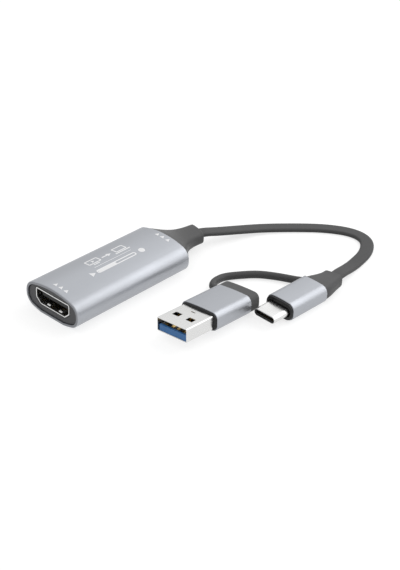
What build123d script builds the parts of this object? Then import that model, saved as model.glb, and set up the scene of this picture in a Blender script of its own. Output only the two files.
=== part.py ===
"""A video capture box on a short flat cable, with a type C plug and a tethered type A adapter.

The box lies flat with its video socket towards -Y and its cable leaving towards +Y. The origin is
on the surface that it lies on, under the middle of the aluminium shell. All sizes are millimetres.
"""

import os
from math import asin, cos, pi, radians, sin, sqrt, tan

from build123d import *

os.makedirs("parts", exist_ok=True)

# Aluminium shell of the box
shell_length = 48.2
shell_width = 23.0
shell_height = 10.8
shell_crown = 2.4
shell_corner = 4.2
shell_base_cut = 0.4
shell_wall = 0.9
shell_edge = 0.2
fit_gap = 0.1

# Bezel in the mouth of the shell
bezel_recess = 0.35
bezel_thickness = 2.2
bezel_edge = 0.15
bezel_socket_gap = 0.25

# Video socket
socket_width = 14.0
socket_height = 4.55
socket_side = 2.9
socket_foot_width = 10.4
socket_corner = 0.35
socket_wall = 0.35
socket_length = 11.6
socket_lift = 0.1
socket_block_length = 3.4
socket_tongue_width = 11.4
socket_tongue_thickness = 1.1
socket_tongue_rise = 0.45
socket_tongue_setback = 1.2
socket_pitch = 1.0
socket_upper_contacts = 10
socket_lower_contacts = 9
socket_contact_width = 0.4
socket_contact_thickness = 0.12
socket_contact_setback = 0.5
socket_foot_length = 0.8
slot_clearance = 0.03
spring_width = 1.3
spring_length = 2.0
spring_rise = 0.4
spring_setback = 0.7
spring_spacing = 5.2
leg_length = 1.2
leg_setback = 3.6
leg_spacing = 6.4

# Board in the box
board_side_gap = 2.6
board_rear_gap = 2.55
board_thickness = 1.0
notch_gap = 0.15
capture_chip_size = 7.0
capture_chip_height = 0.9
capture_chip_shares = (0.0, 0.26)
chip_edge = 0.15
flash_chip_width = 4.0
flash_chip_length = 5.2
flash_chip_height = 1.5
flash_chip_shares = (-0.53, 0.7)
crystal_width = 2.5
crystal_length = 3.2
crystal_height = 0.8
crystal_corner = 0.4
crystal_shares = (0.79, 0.15)
regulator_width = 1.7
regulator_length = 3.0
regulator_height = 1.1
regulator_pin_pitch = 0.95
regulator_shares = (0.79, 0.4)
inductor_size = 4.0
inductor_height = 2.0
inductor_corner = 0.6
inductor_shares = (0.6, 0.7)
passive_width = 0.6
passive_length = 1.1
passive_height = 0.5
passive_pitch = 1.0
passive_count = 5
passive_shares = (0.1, 0.7)
pin_length = 0.8
pin_width = 0.4
pin_height = 0.3
pin_pitch = 1.27
pin_count = 4

# Cable and what holds it at the box
cable_width = 4.6
cable_thickness = 1.5
cable_lead = 4.7
cable_end_lead = 3.5
neck_gap = 0.05
neck_inset = 0.3
neck_plug_length = 4.0
neck_end_width = 8.0
neck_end_height = 4.8
neck_end_crown = 0.5
neck_end_corner = 1.6
neck_reach = 15.9
neck_sidestep = 0.7
neck_bend_back = 5.0
neck_exit_height = 4.6
neck_yaw = 15.0
neck_exit_round = 0.5
pocket_gap = 0.35
pocket_slack = 0.15
stub_setback = 8.4
clamp_length = 2.6
clamp_wall = 0.4
clamp_setback = 4.8
wire_radius = 0.22
wire_count = 8
wire_pad_length = 1.0
wire_pad_height = 0.3
wire_pad_pitch = 1.2
wire_pad_setback = 1.6
wire_pitch = 0.3

# Where the two plugs lie, and how far each is turned from the box. The tether holds the adapter a
# little askew: its front and its far side lie higher than the rest.
type_c_place = (47.0, 26.6)
type_c_yaw = 2.4
adapter_place = (34.5, 3.58)
adapter_yaw = 0.45
adapter_tip = 3.0
adapter_roll = 5.5

# Type C plug
type_c_width = 10.9
type_c_height = 6.4
type_c_crown = 0.35
type_c_corner = 2.5
type_c_length = 15.9
plug_wall = 0.5
plug_edge = 0.15
insert_flange = 0.7
insert_inset = 0.3
insert_depth = 3.6
insert_recess = 0.9
insert_recess_margin = 0.45
insert_edge = 0.2
c_shell_width = 8.34
c_shell_height = 2.56
c_shell_wall = 0.22
c_shell_reach = 7.3
c_shell_depth = 3.4
c_shell_edge = 0.12
c_slot_width = 6.9
c_slot_height = 1.0
c_insulator_setback = 0.25
c_contact_count = 12
c_contact_pitch = 0.5
c_contact_width = 0.26
c_contact_thickness = 0.1
c_contact_setback = 0.9
c_contact_tail = 1.4
c_board_width = 8.4
c_board_length = 6.4
c_mould_gap = 0.05
c_chip_size = 1.8
c_chip_height = 0.6
c_part_spacing = 4.1
c_neck_straight = 7.0
c_neck_lead = 3.2
c_neck_plug = 1.0
c_neck_inset = 0.4
c_neck_end_width = 7.0
c_neck_end_height = 4.8
c_neck_end_crown = 0.2
c_neck_end_corner = 1.7
c_neck_drop = 0.6
c_neck_yaw = -10.0
c_neck_round = 0.4
c_wire_length = 1.5
c_wire_pad_length = 1.0
c_wire_count = 6
c_wire_pitch = 0.65

# Tether from the type C plug's neck to the adapter's cap
tether_diameter = 2.5
tether_lead = 4.0
tether_drop = 0.6
tether_boss_radius = 1.8
tether_boss_reach = 5.9
tether_boss_setback = 1.85
tether_pocket_gap = 0.2
tether_cap_lead = 2.4
tether_cap_drop = 0.4
cap_boss_radius = 1.85
cap_boss_rise = 0.8
cap_boss_setback = 1.95

# Type A adapter
adapter_width = 14.5
adapter_height = 6.5
adapter_crown = 0.3
adapter_corner = 2.2
adapter_length = 15.5
a_shell_width = 12.0
a_shell_height = 4.5
a_shell_corner = 0.45
a_shell_wall = 0.3
a_shell_reach = 11.9
a_shell_depth = 4.4
a_window_width = 2.5
a_window_length = 2.0
a_window_spacing = 5.4
a_window_setback = 5.2
a_slot_width = 1.6
a_slot_length = 0.4
a_slot_setback = 9.2
a_tongue_width = 10.7
a_tongue_thickness = 1.85
a_tongue_setback = 0.35
a_block_length = 3.0
a_pitch = 2.3
a_front_contacts = 4
a_front_width = 1.1
a_front_setback = 1.4
a_rear_contacts = 5
a_rear_width = 0.7
a_rear_rise = 0.45
a_rear_setback = 7.4
a_rear_arch = 1.5
a_contact_thickness = 0.1
a_contact_foot = 1.0
a_insert_flange = 0.5
cap_length = 4.3
cap_inset = 0.1
cap_round = 1.0
cap_plug = 1.6
c_mouth_wall = 0.3
c_mouth_clearance = 0.02
c_mouth_depth = 7.4
c_mouth_margin = 0.12
c_tongue_width = 6.69
c_tongue_thickness = 0.7
c_tongue_setback = 1.0
c_block_length = 1.9
c_socket_tail = 1.4
a_board_width = 11.4
a_chip_size = 3.0
a_chip_height = 0.75
a_part_width = 0.8
a_part_length = 1.4
a_part_height = 0.5
a_part_pitch = 1.9
a_part_count = 5

# How much of the shorter run beside each bend of a cord its arc takes up
arc_share = 0.45

# How much of its straight side a corner's rounding may take up
fillet_share = 0.95

# The free run of the main cable between its two leads: places chosen by hand
cable_turns = [
    (6.4, 54.2, 2.6),
    (9.9, 64.0, 1.1),
    (17.3, 72.9, 0.8),
    (24.3, 79.6, 0.8),
    (32.5, 84.2, 0.8),
    (39.4, 83.2, 0.8),
    (43.9, 76.3, 0.8),
    (45.4, 67.6, 0.8),
    (46.1, 63.0, 1.3),
]

# The free run of the tether between its two leads: places chosen by hand
tether_turns = [
    (22.3, 23.7, 2.1),
    (21.5, 26.4, 1.7),
    (21.5, 30.0, 1.35),
    (24.5, 34.6, 1.35),
    (28.0, 39.0, 1.35),
    (33.4, 42.3, 1.5),
]


# Sizes that follow from those above
oval_height = shell_height + shell_base_cut
oval_middle = shell_height - oval_height / 2
shell_rear = shell_length / 2
socket_middle = shell_height / 2 + socket_lift
board_top = socket_middle - socket_height / 2 - socket_wall
board_setback = bezel_recess + bezel_thickness + fit_gap
board_width = shell_width - 2 * (shell_wall + board_side_gap)
board_length = shell_length - board_setback - stub_setback - board_rear_gap
type_c_middle = type_c_height / 2
c_board_thickness = c_slot_height - 2 * c_contact_thickness

# The height of the adapter's front, for its lowest edge to rest on the table
adapter_slope = radians(adapter_tip)
adapter_bank = radians(adapter_roll)
adapter_drop = (adapter_length + cap_length) * sin(adapter_slope)
adapter_lean = (adapter_width / 2 - adapter_corner) * sin(adapter_bank)
adapter_lean += (adapter_height / 2 - adapter_corner) * cos(adapter_bank) + adapter_corner
adapter_middle = adapter_lean * cos(adapter_slope) + adapter_drop


def heading(yaw):
    """The level direction that points yaw degrees from +Y towards +X."""
    return Vector(0, 1, 0).rotate(Axis.Z, -yaw)


def front_plane(place, yaw, tip=0, roll=0):
    """A plane on the front of a plug: x to its side, y up, and z out of its front.

    The plug is turned by a yaw, its front is raised by a tip, and its +X side by a roll.
    """
    side, ahead = (
        Vector(*way).rotate(Axis.Y, -roll).rotate(Axis.X, -tip).rotate(Axis.Z, -yaw)
        for way in ((1, 0, 0), (0, -1, 0))
    )
    return Plane(origin=place, x_dir=side, z_dir=ahead)


def rear_plane(place, yaw):
    """A plane on the rear of a piece: y up, and z out of its rear."""
    return Plane(origin=place, x_dir=Vector(-1, 0, 0).rotate(Axis.Z, -yaw), z_dir=heading(yaw))


def side_plane(front):
    """The middle plane of a plug: x rearwards from its front, y up."""
    return Plane(origin=front.origin, x_dir=-front.z_dir, z_dir=front.x_dir)


def level_plane(front, height=0):
    """A level plane at a height over the plug's axis: x to its side, y rearwards."""
    return Plane(origin=front.origin, x_dir=front.x_dir, z_dir=front.y_dir).offset(height)


def oval(width, height, crown, corner, inset=0):
    """An oval with a crowned top and bottom, short straight sides and round corners.

    An inset draws it in all round. The corners take up no more than the straight sides have.
    """
    radius = (width**2 / 4 + crown**2) / (2 * crown)
    lean = asin(width / 2 / radius)
    side = fillet_share * (height / 2 - crown)
    corner = min(corner, side * tan(radians(45) + lean / 2)) - inset
    half_width = width / 2 - inset
    top_height = height / 2 - inset
    shoulder = height / 2 - radius + sqrt((radius - inset) ** 2 - half_width**2)
    with BuildSketch(mode=Mode.PRIVATE) as outline:
        with BuildLine():
            top = ThreePointArc((-half_width, shoulder), (0, top_height), (half_width, shoulder))
            base = ThreePointArc((half_width, -shoulder), (0, -top_height), (-half_width, -shoulder))
            Line(top @ 1, base @ 0)
            Line(base @ 1, top @ 0)
        make_face()
        fillet(outline.vertices(), corner)
    return outline.sketch


def shell_outline(inset=0):
    """The shell's outline with its base cut flat, drawn in by an inset."""
    with BuildSketch(mode=Mode.PRIVATE) as outline:
        add(oval(shell_width, oval_height, shell_crown, shell_corner, inset))
        with Locations((0, shell_base_cut + inset)):
            Rectangle(shell_width, oval_height, mode=Mode.INTERSECT)
    return outline.sketch


def type_c_outline(inset):
    """The outline of the type C plug's sleeve, drawn in by an inset."""
    return oval(type_c_width, type_c_height, type_c_crown, type_c_corner, inset)


def adapter_outline(inset):
    """The outline of the adapter's sleeve, drawn in by an inset."""
    return oval(adapter_width, adapter_height, adapter_crown, adapter_corner, inset)


def a_shell_outline(inset):
    """The outline of the adapter's metal plug, drawn in by an inset."""
    width, height = a_shell_width - 2 * inset, a_shell_height - 2 * inset
    with BuildSketch(mode=Mode.PRIVATE) as outline:
        RectangleRounded(width, height, a_shell_corner - inset)
    return outline.sketch


def socket_outline(grow=0):
    """The opening of the video socket, wide at the top and narrow at the bottom."""
    top = socket_height / 2
    knee = top - socket_side
    with BuildSketch(mode=Mode.PRIVATE) as outline:
        with BuildLine():
            Polyline(
                (-socket_width / 2, top),
                (-socket_width / 2, knee),
                (-socket_foot_width / 2, -top),
                (socket_foot_width / 2, -top),
                (socket_width / 2, knee),
                (socket_width / 2, top),
                close=True,
            )
        make_face()
        fillet(outline.vertices(), socket_corner)
        if grow:
            offset(amount=grow)
    return outline.sketch


def spread(count, pitch):
    """The places of a centred row."""
    return [(i - (count - 1) / 2) * pitch for i in range(count)]


def corner_radii(points):
    """The radius of each arc of a cord: as large as the two runs beside it allow."""
    radii = []
    for before, here, after in zip(points, points[1:], points[2:]):
        turn = (here - before).get_angle(after - here)
        run = min((here - before).length, (after - here).length)
        radii.append(arc_share * run / tan(radians(turn) / 2))
    return radii


def start_plane(points):
    """The plane square to a cord's first run, with x level."""
    way = (points[1] - points[0]).normalized()
    return Plane(origin=points[0], x_dir=way.cross(Vector(0, 0, 1)), z_dir=way)


def save(piece, name):
    """Labels a finished piece and writes it."""
    piece.label = name
    export_step(piece, f"parts/{name}.step")


box_front = Plane(origin=(0, -shell_length / 2, oval_middle), x_dir=(1, 0, 0), z_dir=(0, -1, 0))
box_rear = box_front.offset(-shell_length)
socket_front = Plane(
    origin=(0, -shell_length / 2 + bezel_recess, socket_middle), x_dir=(1, 0, 0), z_dir=(0, -1, 0)
)
board_plane = Plane(origin=(0, -shell_length / 2, board_top), x_dir=(1, 0, 0), z_dir=(0, 0, 1))


# The aluminium tube of the box
with BuildPart() as outer_shell:
    with BuildSketch(box_front):
        add(shell_outline())
    extrude(amount=-shell_length)
    chamfer(outer_shell.faces().filter_by(Axis.Y).edges(), shell_edge)
    with BuildSketch(box_front):
        add(shell_outline(shell_wall))
    extrude(amount=-shell_length, mode=Mode.SUBTRACT)
save(outer_shell.part, "outer_shell")

# The dark face round the video socket, a little way inside the shell's lip
with BuildPart() as front_bezel:
    with BuildSketch(box_front.offset(-bezel_recess)):
        add(shell_outline(shell_wall + fit_gap))
    extrude(amount=-bezel_thickness)
    chamfer(front_bezel.faces().sort_by(Axis.Y)[0].edges(), bezel_edge)
    with BuildSketch(socket_front):
        add(socket_outline(socket_wall + bezel_socket_gap))
    extrude(amount=-bezel_thickness, mode=Mode.SUBTRACT)
save(front_bezel.part, "front_bezel")

# The metal shell of the video socket, with two contact springs on its lower wall and four legs
leg_places = (leg_setback, leg_setback + leg_spacing)
leg_x = socket_width / 2 + socket_wall / 2
leg_top = socket_height / 2 - socket_side
leg_foot = board_top - board_thickness - socket_middle
with BuildPart() as video_socket_shell:
    with BuildSketch(socket_front):
        add(socket_outline(socket_wall))
        add(socket_outline(), mode=Mode.SUBTRACT)
    extrude(amount=-socket_length)
    for setback in leg_places:
        for side in (-1, 1):
            with BuildSketch(side_plane(socket_front).offset(side * leg_x)):
                with Locations((setback, (leg_top + leg_foot) / 2)):
                    Rectangle(leg_length, leg_top - leg_foot)
            extrude(amount=socket_wall / 2, both=True)
    for x in (-spring_spacing / 2, spring_spacing / 2):
        with BuildSketch(side_plane(socket_front).offset(x)):
            with BuildLine():
                heel = (spring_setback, -socket_height / 2)
                toe = (spring_setback + spring_length, -socket_height / 2)
                crest = (spring_setback + spring_length / 2, spring_rise - socket_height / 2)
                ThreePointArc(heel, crest, toe)
                Line(toe, heel)
            make_face()
        extrude(amount=spring_width / 2, both=True)
save(video_socket_shell.part, "video_socket_shell")

# The contacts of the video socket, in an upper and a lower row, each bent down to the board
upper_row = socket_tongue_rise + socket_tongue_thickness / 2 + socket_contact_thickness / 2
lower_row = socket_tongue_rise - socket_tongue_thickness / 2 - socket_contact_thickness / 2
contact_tip = socket_tongue_setback + socket_contact_setback
contact_bend = socket_length + socket_contact_thickness / 2
contact_base = board_top - socket_middle + socket_contact_thickness / 2
contact_rows = [(x, upper_row) for x in spread(socket_upper_contacts, socket_pitch)]
contact_rows += [(x, lower_row) for x in spread(socket_lower_contacts, socket_pitch)]
with BuildPart() as video_socket_contacts:
    for x, row in contact_rows:
        with BuildSketch(side_plane(socket_front).offset(x)):
            with BuildLine():
                Polyline(
                    (contact_tip, row),
                    (contact_bend, row),
                    (contact_bend, contact_base),
                    (contact_bend + socket_foot_length, contact_base),
                )
            trace(line_width=socket_contact_thickness)
        extrude(amount=socket_contact_width / 2, both=True)
save(video_socket_contacts.part, "video_socket_contacts")

# The moulding that fills the rear of the socket and carries the tongue
with BuildPart() as video_socket_insulator:
    with BuildSketch(socket_front.offset(socket_block_length - socket_length)):
        add(socket_outline())
    extrude(amount=-socket_block_length)
    with BuildSketch(socket_front.offset(-socket_tongue_setback)):
        with Locations((0, socket_tongue_rise)):
            Rectangle(socket_tongue_width, socket_tongue_thickness)
    extrude(amount=-(socket_length - socket_tongue_setback))
    with BuildSketch(socket_front.offset(socket_block_length - socket_length)):
        for x, row in contact_rows:
            with Locations((x, row)):
                Rectangle(socket_contact_width, socket_contact_thickness)
        offset(amount=slot_clearance)
        with Locations((0, socket_tongue_rise)):
            Rectangle(socket_tongue_width, socket_tongue_thickness, mode=Mode.SUBTRACT)
    extrude(amount=-socket_block_length, mode=Mode.SUBTRACT)
save(video_socket_insulator.part, "video_socket_insulator")

# The circuit board, notched from both sides for the socket's legs
leg_inner = socket_width / 2 - notch_gap
with BuildPart() as main_board:
    with BuildSketch(board_plane):
        with Locations((0, board_setback + board_length / 2)):
            Rectangle(board_width, board_length)
        for setback in leg_places:
            for side in (-1, 1):
                with Locations((side * (leg_inner + board_width / 4), bezel_recess + setback)):
                    Rectangle(board_width / 2, leg_length + 2 * notch_gap, mode=Mode.SUBTRACT)
    extrude(amount=-board_thickness)
save(main_board.part, "main_board")


def on_board(shares):
    """A place on the board's free length behind the socket, from its shares of width and length."""
    free_start = contact_bend + socket_foot_length + bezel_recess
    free_length = board_setback + board_length - free_start
    return shares[0] * board_width / 2, free_start + shares[1] * free_length


# The chip that turns the picture into data
with BuildPart() as capture_chip:
    with BuildSketch(board_plane):
        with Locations(on_board(capture_chip_shares)):
            Rectangle(capture_chip_size, capture_chip_size)
    extrude(amount=capture_chip_height)
    chamfer(capture_chip.faces().sort_by(Axis.Z)[-1].edges(), chip_edge)
save(capture_chip.part, "capture_chip")

# The memory chip, with its rows of pins
with BuildPart() as flash_chip:
    with BuildSketch(board_plane.offset(pin_height / 2)):
        with Locations(on_board(flash_chip_shares)):
            Rectangle(flash_chip_width, flash_chip_length)
    extrude(amount=flash_chip_height - pin_height / 2)
    with BuildSketch(board_plane):
        with Locations(on_board(flash_chip_shares)):
            with Locations(*((0, step) for step in spread(pin_count, pin_pitch))):
                Rectangle(flash_chip_width + 2 * pin_length, pin_width)
    extrude(amount=pin_height)
save(flash_chip.part, "flash_chip")

# The metal can of the clock crystal
with BuildPart() as crystal_can:
    with BuildSketch(board_plane):
        with Locations(on_board(crystal_shares)):
            RectangleRounded(crystal_width, crystal_length, crystal_corner)
    extrude(amount=crystal_height)
save(crystal_can.part, "crystal_can")

# The voltage regulator, with pins along both sides
with BuildPart() as regulator_chip:
    with BuildSketch(board_plane.offset(pin_height / 2)):
        with Locations(on_board(regulator_shares)):
            Rectangle(regulator_width, regulator_length)
    extrude(amount=regulator_height - pin_height / 2)
    with BuildSketch(board_plane):
        with Locations(on_board(regulator_shares)):
            with Locations((0, -regulator_pin_pitch), (0, 0), (0, regulator_pin_pitch)):
                Rectangle(regulator_width + pin_length, pin_width)
    extrude(amount=pin_height)
save(regulator_chip.part, "regulator_chip")

# The power inductor
with BuildPart() as power_inductor:
    with BuildSketch(board_plane):
        with Locations(on_board(inductor_shares)):
            RectangleRounded(inductor_size, inductor_size, inductor_corner)
    extrude(amount=inductor_height)
save(power_inductor.part, "power_inductor")

# The row of small resistors and capacitors between the memory chip and the inductor
with BuildPart() as board_passives:
    with BuildSketch(board_plane):
        with Locations(on_board(passive_shares)):
            with Locations(*((0, step) for step in spread(passive_count, passive_pitch))):
                Rectangle(passive_length, passive_width)
    extrude(amount=passive_height)
save(board_passives.part, "board_passives")

# Places along the cable's way out of the box
cable_exit = Vector(neck_sidestep, shell_rear + neck_reach, neck_exit_height)
exit_way = heading(neck_yaw)
exit_plane = rear_plane(cable_exit, neck_yaw)
exit_ahead = cable_exit + exit_way * cable_lead
pocket_radius = cable_width / 2 + pocket_gap
pocket_height = cable_thickness + 2 * pocket_slack
stub_start = Vector(0, shell_rear - stub_setback, neck_exit_height)
stub_plane = rear_plane(stub_start, 0)
stub_length = stub_setback + neck_reach - pocket_radius - fit_gap
neck_start = Vector(0, shell_rear, shell_height / 2)
neck_bend = Vector(0, shell_rear + neck_reach - neck_bend_back, neck_exit_height)

# The cable's fixed end, from inside the shell to the pocket at the neck's tip
with BuildPart() as box_cable_stub:
    with BuildSketch(stub_plane):
        SlotOverall(cable_width, cable_thickness)
    extrude(amount=stub_length)
save(box_cable_stub.part, "box_cable_stub")

# The soft neck: a plug inside the shell, and a taper that bends towards the cable
neck_shares = ((0.0, 1.0), (0.14, 0.74), (0.4, 0.26), (0.73, 0.03), (1.0, 0.0))
neck_base_width = shell_width - 2 * neck_inset
neck_base_height = shell_height - 2 * neck_inset
with BuildPart() as rear_neck:
    with BuildLine(mode=Mode.PRIVATE) as neck_line:
        Bezier(neck_start, neck_bend, cable_exit)
    for along, share in neck_shares:
        place = neck_line.line @ along
        yaw = neck_yaw * along
        width = neck_end_width + (neck_base_width - neck_end_width) * share
        height = neck_end_height + (neck_base_height - neck_end_height) * share
        crown = neck_end_crown + (shell_crown - neck_end_crown) * share
        corner = neck_end_corner + (shell_corner - neck_inset - neck_end_corner) * share
        with BuildSketch(rear_plane(place, yaw)):
            add(oval(width, height, crown, corner))
    loft()
    fillet(rear_neck.faces().sort_by(Axis.Y)[-1].edges(), neck_exit_round)
    with BuildSketch(box_rear):
        add(shell_outline(shell_wall + fit_gap))
    extrude(amount=neck_plug_length)
    with BuildSketch(stub_plane):
        SlotOverall(cable_width + 2 * neck_gap, cable_thickness + 2 * neck_gap)
    extrude(amount=stub_length + fit_gap, mode=Mode.SUBTRACT)
    with BuildSketch(Plane(origin=cable_exit, z_dir=(0, 0, 1))):
        Circle(pocket_radius)
    extrude(amount=pocket_height / 2, both=True, mode=Mode.SUBTRACT)
save(rear_neck.part, "rear_neck")

# The crimped metal band round the cable, in front of the neck's plug
with BuildPart() as box_cable_clamp:
    with BuildSketch(stub_plane.offset(stub_setback - clamp_setback)):
        SlotOverall(cable_width + 2 * clamp_wall, cable_thickness + 2 * clamp_wall)
        SlotOverall(cable_width, cable_thickness, mode=Mode.SUBTRACT)
    extrude(amount=-clamp_length)
save(box_cable_clamp.part, "box_cable_clamp")

# The wires from the cable's fixed end down to their pads at the rear of the board
pad_setback = board_setback + board_length - wire_pad_setback
pad_y = pad_setback - shell_length / 2
with BuildPart() as box_wires:
    with BuildSketch(board_plane):
        for x in spread(wire_count, wire_pad_pitch):
            with Locations((x, pad_setback)):
                Rectangle(2 * wire_radius, wire_pad_length)
    extrude(amount=wire_pad_height)
    for start_x, end_x in zip(spread(wire_count, wire_pitch), spread(wire_count, wire_pad_pitch)):
        start = Vector(start_x, stub_start.Y, stub_start.Z)
        end = Vector(end_x, pad_y, board_top + wire_radius)
        with BuildSketch(Plane(origin=start, z_dir=end - start)):
            Circle(wire_radius)
        extrude(amount=(end - start).length)
    with BuildSketch(stub_plane):
        Rectangle(board_width, shell_height)
    extrude(amount=cable_width, mode=Mode.SUBTRACT)
save(box_wires.part, "box_wires")


# Planes and places of the type C plug
c_front = front_plane((*type_c_place, type_c_middle), type_c_yaw)
c_rear = c_front.offset(-type_c_length)
c_tip = c_front.offset(c_shell_reach)
c_depth = c_shell_reach + c_shell_depth
c_board_start = c_shell_depth
c_board_end = c_board_start + c_board_length
c_neck_way = heading(type_c_yaw + c_neck_yaw)
c_level = -c_neck_drop * c_front.y_dir
c_bend = c_rear.origin + heading(type_c_yaw) * c_neck_straight + c_level
c_neck_end = c_bend + c_neck_way * c_neck_lead

# The aluminium sleeve of the type C plug
with BuildPart() as type_c_housing:
    with BuildSketch(c_front):
        add(type_c_outline(0))
    extrude(amount=-type_c_length)
    ends = type_c_housing.faces().filter_by(c_front)
    chamfer(ends.edges(), plug_edge)
    with BuildSketch(c_front):
        add(type_c_outline(plug_wall))
    extrude(amount=-type_c_length, mode=Mode.SUBTRACT)
save(type_c_housing.part, "type_c_housing")

# The black insert in the plug's front, with a step down round the metal plug
with BuildPart() as type_c_insert:
    with BuildSketch(c_front):
        add(type_c_outline(insert_inset))
    extrude(amount=insert_flange)
    fillet(type_c_insert.faces().sort_by(Axis.Y)[0].edges(), insert_edge)
    with BuildSketch(c_front):
        add(type_c_outline(plug_wall + c_mould_gap))
    extrude(amount=-insert_depth)
    with BuildSketch(c_front.offset(insert_flange)):
        SlotOverall(c_shell_width + 2 * insert_recess_margin, c_shell_height + 2 * insert_recess_margin)
    extrude(amount=-insert_recess, mode=Mode.SUBTRACT)
    with BuildSketch(c_front.offset(insert_flange)):
        SlotOverall(c_shell_width + 2 * c_mould_gap, c_shell_height + 2 * c_mould_gap)
    extrude(amount=-(insert_flange + insert_depth), mode=Mode.SUBTRACT)
save(type_c_insert.part, "type_c_insert")

# The metal plug
with BuildPart() as type_c_plug_shell:
    with BuildSketch(c_tip):
        SlotOverall(c_shell_width, c_shell_height)
    extrude(amount=-c_depth)
    chamfer(type_c_plug_shell.faces().sort_by(Axis.Y)[0].edges(), c_shell_edge)
    with BuildSketch(c_tip):
        SlotOverall(c_shell_width - 2 * c_shell_wall, c_shell_height - 2 * c_shell_wall)
    extrude(amount=-c_depth, mode=Mode.SUBTRACT)
save(type_c_plug_shell.part, "type_c_plug_shell")

# The lining of the metal plug, open from end to end for the contacts
with BuildPart() as type_c_lining:
    with BuildSketch(c_tip.offset(-c_insulator_setback)):
        SlotOverall(c_shell_width - 2 * c_shell_wall, c_shell_height - 2 * c_shell_wall)
        Rectangle(c_slot_width, c_slot_height, mode=Mode.SUBTRACT)
    extrude(amount=c_insulator_setback - c_depth)
save(type_c_lining.part, "type_c_lining")

# The contacts along both walls of the lining, reaching back on both faces of the board
with BuildPart() as type_c_contacts:
    with BuildSketch(c_tip.offset(-c_contact_setback)):
        for x in spread(c_contact_count, c_contact_pitch):
            for side in (-1, 1):
                with Locations((x, side * (c_slot_height - c_contact_thickness) / 2)):
                    Rectangle(c_contact_width, c_contact_thickness)
    extrude(amount=c_contact_setback - c_depth - c_contact_tail)
save(type_c_contacts.part, "type_c_contacts")

# The small board behind the metal plug
with BuildPart() as type_c_board:
    with BuildSketch(level_plane(c_front)):
        with Locations((0, c_board_start + c_board_length / 2)):
            Rectangle(c_board_width, c_board_length)
    extrude(amount=c_board_thickness / 2, both=True)
save(type_c_board.part, "type_c_board")

# The chip and the small parts on that board
c_parts_plane = level_plane(c_front, c_board_thickness / 2)
c_parts_depth = c_board_start + c_board_length / 2
with BuildPart() as type_c_board_parts:
    with BuildSketch(c_parts_plane):
        with Locations((0, c_parts_depth)):
            Rectangle(c_chip_size, c_chip_size)
    extrude(amount=c_chip_height)
    with BuildSketch(c_parts_plane):
        for x in (-c_part_spacing / 2, c_part_spacing / 2):
            with Locations((x, c_parts_depth)):
                Rectangle(passive_width, passive_length)
    extrude(amount=passive_height)
save(type_c_board_parts.part, "type_c_board_parts")

# The cable's other fixed end, from the plug's moulding to the tip of its neck
c_stub_start = c_front.origin + heading(type_c_yaw) * (c_board_end + c_wire_length) + c_level
c_stub_plane = rear_plane(c_stub_start, type_c_yaw)
c_stub_points = [c_stub_start, c_bend, c_neck_end]
with BuildPart() as type_c_cable_stub:
    with BuildLine():
        FilletPolyline(*c_stub_points, radius=corner_radii(c_stub_points))
    with BuildSketch(c_stub_plane):
        SlotOverall(cable_width, cable_thickness)
    sweep()
save(type_c_cable_stub.part, "type_c_cable_stub")

# The wires from that end to the underside of the plug's board
with BuildPart() as type_c_wires:
    with BuildSketch(c_stub_plane):
        for x in spread(c_wire_count, c_wire_pitch):
            with Locations((x, c_neck_drop - c_board_thickness / 2 - wire_radius)):
                Circle(wire_radius)
    extrude(amount=-(c_wire_length + c_wire_pad_length))
save(type_c_wires.part, "type_c_wires")

# The moulding that fills the plug's sleeve round the board
c_mould_end = type_c_length - c_neck_plug
c_cavity_top = c_board_thickness / 2 + c_chip_height + c_mould_gap
c_cavity_base = -(c_board_thickness / 2 + 2 * wire_radius + c_mould_gap)
with BuildPart() as type_c_mould:
    with BuildSketch(c_front.offset(-insert_depth)):
        add(type_c_outline(plug_wall + c_mould_gap))
    extrude(amount=insert_depth - c_mould_end)
    with BuildSketch(c_front.offset(-insert_depth)):
        with Locations((0, (c_cavity_top + c_cavity_base) / 2)):
            Rectangle(c_board_width + 2 * c_mould_gap, c_cavity_top - c_cavity_base)
    extrude(amount=insert_depth - c_board_end - c_wire_length, mode=Mode.SUBTRACT)
    with BuildLine():
        FilletPolyline(*c_stub_points, radius=corner_radii(c_stub_points))
    with BuildSketch(c_stub_plane):
        SlotOverall(cable_width + 2 * neck_gap, cable_thickness + 2 * neck_gap)
    sweep(mode=Mode.SUBTRACT)
save(type_c_mould.part, "type_c_mould")

# The plug's soft neck, with the boss on its side that the tether leaves from
c_neck_shares = ((0.0, 1.0), (0.25, 0.85), (0.6, 0.3), (0.85, 0.04), (1.0, 0.0))
tether_plane = c_rear.offset(-tether_boss_setback)
tether_way = -c_front.x_dir
tether_root = tether_plane.origin + tether_way * tether_boss_reach + Vector(0, 0, -tether_drop)
with BuildPart() as type_c_neck:
    with BuildLine(mode=Mode.PRIVATE) as c_neck_line:
        Bezier(c_rear.origin, c_bend, c_neck_end)
    for along, share in c_neck_shares:
        width = c_neck_end_width + (type_c_width - 2 * c_neck_inset - c_neck_end_width) * share
        height = c_neck_end_height + (type_c_height - 2 * c_neck_inset - c_neck_end_height) * share
        crown = c_neck_end_crown + (type_c_crown - c_neck_end_crown) * share
        corner = c_neck_end_corner + (type_c_corner - c_neck_inset - c_neck_end_corner) * share
        with BuildSketch(rear_plane(c_neck_line.line @ along, type_c_yaw + c_neck_yaw * along)):
            add(oval(width, height, crown, corner))
    loft()
    fillet(type_c_neck.faces().sort_by(Axis.Y)[-1].edges(), c_neck_round)
    with BuildSketch(c_rear):
        add(type_c_outline(plug_wall + c_mould_gap))
    extrude(amount=c_neck_plug)
    with BuildSketch(Plane(origin=tether_root, z_dir=tether_way)):
        Circle(tether_boss_radius)
    extrude(amount=-tether_boss_reach)
    with BuildLine():
        FilletPolyline(*c_stub_points, radius=corner_radii(c_stub_points))
    with BuildSketch(c_stub_plane):
        SlotOverall(cable_width + 2 * neck_gap, cable_thickness + 2 * neck_gap)
    sweep(mode=Mode.SUBTRACT)
save(type_c_neck.part, "type_c_neck")


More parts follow.
